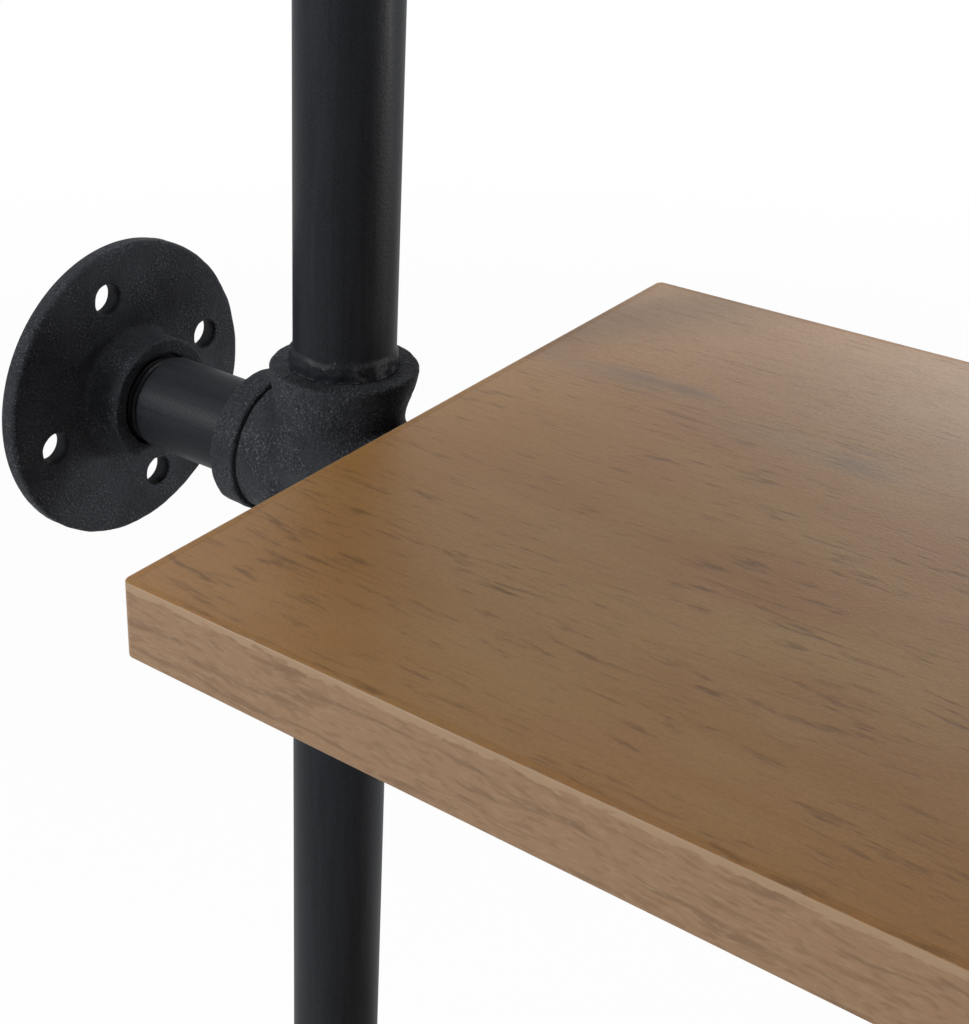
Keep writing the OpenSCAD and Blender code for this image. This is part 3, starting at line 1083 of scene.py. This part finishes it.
def strap_shape(s):
    """Both straps of an arm, with rounded ears and drilled holes. The arm lies along +X."""
    screw_y, tip = ear_y(s)
    r = s.ear_round
    w = s.width / 2
    plan = []
    for cy, cx, start in ((1, 1, 0), (-1, 1, 90), (-1, -1, 180), (1, -1, 270)):
        plan += arc((cy * (tip - r), cx * (w - r)), r, start, start + 90, 6)
    blank = extruded(plan, 60 * MM)
    bmesh.ops.rotate(blank, verts=blank.verts, matrix=Matrix.Rotation(math.pi / 2, 3, "Y"))
    shape = carved(extruded(strap_outline(s), s.width), [blank], "strap", "INTERSECT")
    drill_r, drill_h = s.screw_radius + 0.2 * MM, 20 * MM
    drills = []
    for y in (-screw_y, screw_y):
        drills.append(turned([(0, 0), (drill_r, 0), (drill_r, drill_h), (0, drill_h)], 32))
        bmesh.ops.translate(drills[-1], verts=drills[-1].verts, vec=Vector((0, y, 0)))
    shape = carved(shape, drills, "strap", bevel=0.22 * MM)
    return copies(shape, [Matrix.Translation((x, 0, 0)) for x in strap_places(s)], "strap")


def screw_shape(s):
    """A pan-head screw pointing up, with its seat at nought and a cross recess under its head."""
    deep = 1.3 * MM
    above = 1.1 * MM
    pan = 1.9 * MM
    outline = [
        (0, -s.head_height),
        (s.head_radius * 0.45, -s.head_height),
        *arc((s.head_radius - pan, -s.head_height + pan), pan, 275, 350, 6),
        (s.head_radius, -0.25 * MM),
        (s.head_radius - 0.2 * MM, 0),
        (s.screw_radius, 0),
        (s.screw_radius, 8.6 * MM),
        (0, 12.4 * MM),
    ]
    arm, half = 2.1 * MM, 0.5 * MM
    plus = []
    for quarter in range(4):
        turn = Matrix.Rotation(quarter * math.pi / 2, 2)
        plus += [turn @ Vector(p) for p in ((half, half), (half, arm), (-half, arm))]
    cutter = bmesh.new()
    levels = ((-s.head_height - above, 1.0), (-s.head_height, 1.0), (-s.head_height + deep, 0.45))
    rings = [[cutter.verts.new((q.x * k, q.y * k, z)) for q in plus] for z, k in levels]
    cutter.faces.new(rings[0])
    cutter.faces.new(rings[-1])
    for a, b in zip(rings, rings[1:]):
        for i in range(len(plus)):
            j = (i + 1) % len(plus)
            cutter.faces.new([a[i], a[j], b[j], b[i]])
    bmesh.ops.recalc_face_normals(cutter, faces=cutter.faces)
    return carved(turned(outline, SCREW_SIDES), [cutter], "screw")


def tier_screws(s):
    """The eight screws of a tier, about the middle of the unit at the height of the crosses."""
    screw_y = ear_y(s)[0]
    turn = SCREW_TURN
    places = []
    for side in SIDES:
        for x in strap_places(s):
            for y in (-screw_y, screw_y):
                turn += SCREW_STEP
                seat = Matrix.Translation((x, y, PIPE_R - s.thickness))
                places.append(at_post(side) @ seat @ Matrix.Rotation(math.radians(turn), 4, "Z"))
    return copies(screw_shape(s), places, "screw")


def board_shape(b):
    """A board's core about its middle, with a small chamfer where the edge bands meet it."""
    bm = bmesh.new()
    bmesh.ops.create_cube(bm, size=1.0)
    bmesh.ops.scale(bm, verts=bm.verts, vec=BOARD_SIZE)
    bmesh.ops.bevel(bm, geom=bm.edges, offset=b.joint, segments=2, profile=0.7, affect="EDGES")
    return bm


def band_shape(b):
    """The edge bands about the board's middle: one section swept round a rounded rectangle."""
    thick = (BANDED_SIZE.y - BOARD_SIZE.y) / 2
    half = BANDED_SIZE.z / 2
    r = b.arris
    fine = 0.05 * MM
    section = [
        (thick, -half + fine),
        (thick - fine, -half),
        (r + fine, -half),
        *arc((r, -half + r), r, 270, 180, 8),
        (0, -half + r + fine),
        (0, half - r - fine),
        *arc((r, half - r), r, 180, 90, 8),
        (r + fine, half),
        (thick - fine, half),
        (thick, half - fine),
    ]
    path = []
    half_x, half_y = BANDED_SIZE.x / 2 - b.corner, BANDED_SIZE.y / 2 - b.corner
    for quarter, (way_x, way_y) in enumerate(((1, 1), (-1, 1), (-1, -1), (1, -1))):
        centre = Vector((way_x * half_x, way_y * half_y, 0))
        for i in range(9):
            angle = math.radians(90 * quarter + 90 * i / 8)
            path.append((centre, Vector((math.cos(angle), math.sin(angle), 0))))
    stations = []
    for (centre, out), (next_centre, _) in zip(path, path[1:] + path[:1]):
        steps = max(1, round((next_centre - centre).length / (25 * MM)))
        stations += [(centre.lerp(next_centre, i / steps), out) for i in range(steps)]
    bm = bmesh.new()
    rings = [
        [bm.verts.new(centre + out * (b.corner - d) + Vector((0, 0, z))) for d, z in section]
        for centre, out in stations
    ]
    for a, c in zip(rings, rings[1:] + rings[:1]):
        for i in range(len(section)):
            j = (i + 1) % len(section)
            bm.faces.new([a[i], a[j], c[j], c[i]])
    bmesh.ops.recalc_face_normals(bm, faces=bm.faces)
    return bm


# Operators


class SHELF_OT_pipes(bpy.types.Operator):
    """Makes the post pipes, wall nipples and arms"""

    bl_idname = "shelf.make_pipes"
    bl_label = "Pipes"
    bl_options = {"UNDO"}

    def execute(self, context):
        p = context.scene.shelf_pipes
        black = finish("satin_pipe_paint", write_pipe_black)
        for name in ("foot_pipe", "lower_riser", "upper_riser", "top_stub"):
            ringed = name != "foot_pipe"
            low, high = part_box(f"left_{name}")
            mouth = low.z + THREAD if ringed else 0.0
            mesh = to_mesh(pipe_shape(low.z - mouth, high.z - mouth, p, ringed), name)
            for side in SIDES:
                node = f"{side}_{name}"
                piece(f"{node}_satin", mesh, at_post(side, mouth), black, "pipe_black", node)
        for name, thread in (("wall_nipple", OPEN_THREAD), ("arm", None)):
            low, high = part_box(f"left_middle_{name}")
            mesh = to_mesh(pipe_shape(low.x + POST_X, high.x + POST_X, p, thread=thread), name)
            for node, place in at_crosses(name):
                piece(f"{node}_satin", mesh, place @ ALONG_X, black, "pipe_black", node)
        return {"FINISHED"}


class SHELF_OT_crosses(bpy.types.Operator):
    """Makes the six pipe crosses"""

    bl_idname = "shelf.make_crosses"
    bl_label = "Crosses"
    bl_options = {"UNDO"}

    def execute(self, context):
        scene = context.scene
        iron = finish("sand_cast_paint", write_cast_black)
        mesh = to_mesh(cross_shape(scene.shelf_castings, scene.shelf_pipes), "cross", CAST_SHARP)
        for node, place in at_crosses("cross"):
            piece(f"{node}_casting", mesh, place, iron, "cast_black", node)
        return {"FINISHED"}


class SHELF_OT_flanges(bpy.types.Operator):
    """Makes the two floor flanges and the six wall flanges"""

    bl_idname = "shelf.make_flanges"
    bl_label = "Flanges"
    bl_options = {"UNDO"}

    def execute(self, context):
        iron = finish("sand_cast_paint", write_cast_black)
        mesh = to_mesh(flange_shape(context.scene.shelf_castings), "flange", CAST_SHARP)
        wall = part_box("left_middle_wall_flange")[0].x + POST_X
        for side in SIDES:
            node = f"{side}_floor_flange"
            place = at_post(side) @ Matrix.Rotation(HOLE_TURN, 4, "Z")
            piece(f"{node}_casting", mesh, place, iron, "cast_black", node)
            way = HOLE_TURN if side == "left" else -HOLE_TURN
            at_wall = Matrix.Translation((wall, 0, 0)) @ ALONG_X @ Matrix.Rotation(way, 4, "Z")
            for node, place in at_crosses("wall_flange", [side]):
                piece(f"{node}_casting", mesh, place @ at_wall, iron, "cast_black", node)
        return {"FINISHED"}


class SHELF_OT_caps(bpy.types.Operator):
    """Makes the two post caps"""

    bl_idname = "shelf.make_caps"
    bl_label = "Post caps"
    bl_options = {"UNDO"}

    def execute(self, context):
        iron = finish("sand_cast_paint", write_cast_black)
        mesh = to_mesh(cap_shape(context.scene.shelf_castings), "cap", CAST_SHARP)
        for side in SIDES:
            node = f"{side}_top_cap"
            place = at_post(side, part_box(node)[0].z)
            piece(f"{node}_casting", mesh, place, iron, "cast_black", node)
        return {"FINISHED"}


class SHELF_OT_plugs(bpy.types.Operator):
    """Makes the six arm plugs"""

    bl_idname = "shelf.make_plugs"
    bl_label = "Arm plugs"
    bl_options = {"UNDO"}

    def execute(self, context):
        black = finish("moulded_plastic", write_plug_black)
        mesh = to_mesh(plug_shape(context.scene.shelf_pipes), "plug")
        at_arm_end = Matrix.Translation((ARM_END, 0, 0)) @ ALONG_X
        for node, place in at_crosses("arm_plug"):
            piece(f"{node}_moulding", mesh, place @ at_arm_end, black, "plug_black", node)
        return {"FINISHED"}


class SHELF_OT_straps(bpy.types.Operator):
    """Makes the pipe straps and their screws"""

    bl_idname = "shelf.make_straps"
    bl_label = "Straps and screws"
    bl_options = {"UNDO"}

    def execute(self, context):
        s = context.scene.shelf_straps
        steel = finish("black_zinc", write_strap_black)
        straps = to_mesh(strap_shape(s), "straps", STEEL_SHARP)
        screws = to_mesh(tier_screws(s), "screws", STEEL_SHARP)
        for tier in TIERS:
            for node, place in at_crosses("pipe_straps", tiers=[tier]):
                piece(f"{node}_pressing", straps, place, steel, "strap_black", node)
            node = f"{tier}_strap_screws"
            place = Matrix.Translation((0, 0, TIER_Z[tier]))
            piece(f"{node}_zinc", screws, place, steel, "screw_black", node)
        return {"FINISHED"}


class SHELF_OT_boards(bpy.types.Operator):
    """Makes the three boards and their edge bands"""

    bl_idname = "shelf.make_boards"
    bl_label = "Boards"
    bl_options = {"UNDO"}

    def execute(self, context):
        b = context.scene.shelf_boards
        top = finish("oak_decor", write_oak_board)
        edge = finish("oak_edge_decor", write_oak_edge)
        core = to_mesh(board_shape(b), "board", 10)
        bands = to_mesh(band_shape(b), "bands", 30)
        for tier in TIERS:
            place = Matrix.Translation(middle(f"{tier}_board"))
            piece(f"{tier}_board_decor", core, place, top, "oak_board", f"{tier}_board")
            piece(f"{tier}_edge_decor", bands, place, edge, "oak_edge", f"{tier}_edge_bands")
        return {"FINISHED"}


# The stage


def make_floor(scene):
    """A wide pale disc that fades to white away from the unit and keeps its shadow near it."""
    bm = bmesh.new()
    bmesh.ops.create_circle(bm, cap_ends=True, radius=40.0, segments=96)
    mesh = to_mesh(bm, "floor")
    floor = bpy.data.objects.new("floor", mesh)
    scene.collection.objects.link(floor)
    made = bpy.data.materials.new("floor")
    made.use_nodes = True
    mesh.materials.append(made)
    f = Finish(made.node_tree)
    x, y = f.parts(f.node("ShaderNodeNewGeometry", output=0))[:2]
    far = f.step(f.hypot(x, y), *FLOOR_FADE, FLOOR_NEAR, 1.0)
    plain = f.node("ShaderNodeBsdfDiffuse", None, {"Color": scene.shelf_finishes.floor})
    white = f.node("ShaderNodeEmission", None, {"Color": WHITE, "Strength": 1.0})
    shown = f.node("ShaderNodeMixShader", None, {0: far * f.seen(), 1: plain, 2: white})
    f.node("ShaderNodeOutputMaterial", None, {"Surface": shown})


def make_world(scene, st):
    """White where the camera, a reflection or glass sees it, and an even light for the rest."""
    world = bpy.data.worlds.new("room")
    scene.world = world
    world.use_nodes = True
    f = Finish(world.node_tree)
    even, white = (
        f.node("ShaderNodeBackground", None, {"Color": tint, "Strength": strength})
        for tint, strength in ((ROOM_TINT, st.room_light), (WHITE, 1.0))
    )
    shown = f.node("ShaderNodeMixShader", None, {0: f.seen(), 1: even, 2: white})
    f.node("ShaderNodeOutputWorld", None, {"Surface": shown})


def make_lamp(scene, name, at, size, power):
    """A square lamp that shines on the middle of the unit."""
    light = bpy.data.lights.new(name, "AREA")
    light.shape = "SQUARE"
    light.size = size
    light.energy = power
    lamp = bpy.data.objects.new(name, light)
    scene.collection.objects.link(lamp)
    lamp.location = at
    lamp.rotation_mode = "QUATERNION"
    lamp.rotation_quaternion = (Vector(LAMPS_AIM) - lamp.location).to_track_quat("-Z", "Y")


def make_camera(scene, st):
    """The photograph's view of the left end of the middle board."""
    azimuth, elevation, roll = (math.radians(a) for a in VIEW_ANGLES)
    level = Vector((math.cos(azimuth), math.sin(azimuth), 0))
    back = Vector((math.sin(azimuth), -math.cos(azimuth), 0)) * math.cos(elevation)
    back.z = math.sin(elevation)
    right = level * math.cos(roll) + back.cross(level) * math.sin(roll)
    camera = bpy.data.objects.new("camera", bpy.data.cameras.new("camera"))
    scene.collection.objects.link(camera)
    camera.data.sensor_width = 36.0
    camera.data.lens = st.lens
    camera.data.shift_y = VIEW_SHIFT
    camera.data.clip_start = 0.01
    place = Matrix((right, back.cross(right), back)).transposed().to_4x4()
    place.translation = Vector((-POST_X, 0, TIER_Z["middle"])) + Vector(VIEW_FROM)
    camera.matrix_world = place
    scene.camera = camera


class SHELF_OT_stage(bpy.types.Operator):
    """Makes the floor, the light and the camera"""

    bl_idname = "shelf.make_stage"
    bl_label = "Stage"
    bl_options = {"UNDO"}

    def execute(self, context):
        scene = context.scene
        st = scene.shelf_stage
        scene.view_settings.view_transform = "Standard"
        make_floor(scene)
        make_world(scene, st)
        make_lamp(scene, "key", (-1.57, -2.42, 1.75), 0.7, st.key_power)
        make_lamp(scene, "back", (2.30, 1.93, 0.50), 0.5, st.back_power)
        make_lamp(scene, "top", (-0.20, 0.30, 3.30), 1.2, st.top_power)
        make_lamp(scene, "sheen", (-0.57, 3.25, 1.32), 1.2, st.sheen_power)
        make_camera(scene, st)
        return {"FINISHED"}


# The sidebar panel and the run


class SHELF_PT_unit(bpy.types.Panel):
    """Lists the unit's pieces in the sidebar"""

    bl_label = "Pipe Shelving Unit"
    bl_idname = "SHELF_PT_unit"
    bl_space_type = "VIEW_3D"
    bl_region_type = "UI"
    bl_category = "Shelving"

    def draw(self, context):
        for operator in OPERATORS:
            self.layout.operator(operator.bl_idname)
        for name in GROUPS:
            group = getattr(context.scene, name)
            box = self.layout.box()
            for key in group.__annotations__:
                box.prop(group, key)


GROUPS = {
    "shelf_pipes": PipeSizes,
    "shelf_castings": CastingSizes,
    "shelf_straps": StrapSizes,
    "shelf_boards": BoardSizes,
    "shelf_finishes": Finishes,
    "shelf_stage": StageSizes,
}
OPERATORS = (
    SHELF_OT_stage,
    SHELF_OT_pipes,
    SHELF_OT_crosses,
    SHELF_OT_flanges,
    SHELF_OT_caps,
    SHELF_OT_plugs,
    SHELF_OT_straps,
    SHELF_OT_boards,
)


def register():
    """Registers the classes and hangs the sizes on the scene."""
    for made in (*GROUPS.values(), *OPERATORS, SHELF_PT_unit):
        bpy.utils.register_class(made)
    for name, group in GROUPS.items():
        setattr(bpy.types.Scene, name, PointerProperty(type=group))


def unregister():
    """Takes away what register() added."""
    for name in GROUPS:
        delattr(bpy.types.Scene, name)
    for made in (SHELF_PT_unit, *reversed(OPERATORS), *reversed(GROUPS.values())):
        bpy.utils.unregister_class(made)


def main():
    """Makes the stage and the whole unit."""
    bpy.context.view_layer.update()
    register()
    bpy.ops.shelf.make_stage()
    bpy.ops.shelf.make_pipes()
    bpy.ops.shelf.make_crosses()
    bpy.ops.shelf.make_flanges()
    bpy.ops.shelf.make_caps()
    bpy.ops.shelf.make_plugs()
    bpy.ops.shelf.make_straps()
    bpy.ops.shelf.make_boards()


if __name__ == "__main__":
    main()
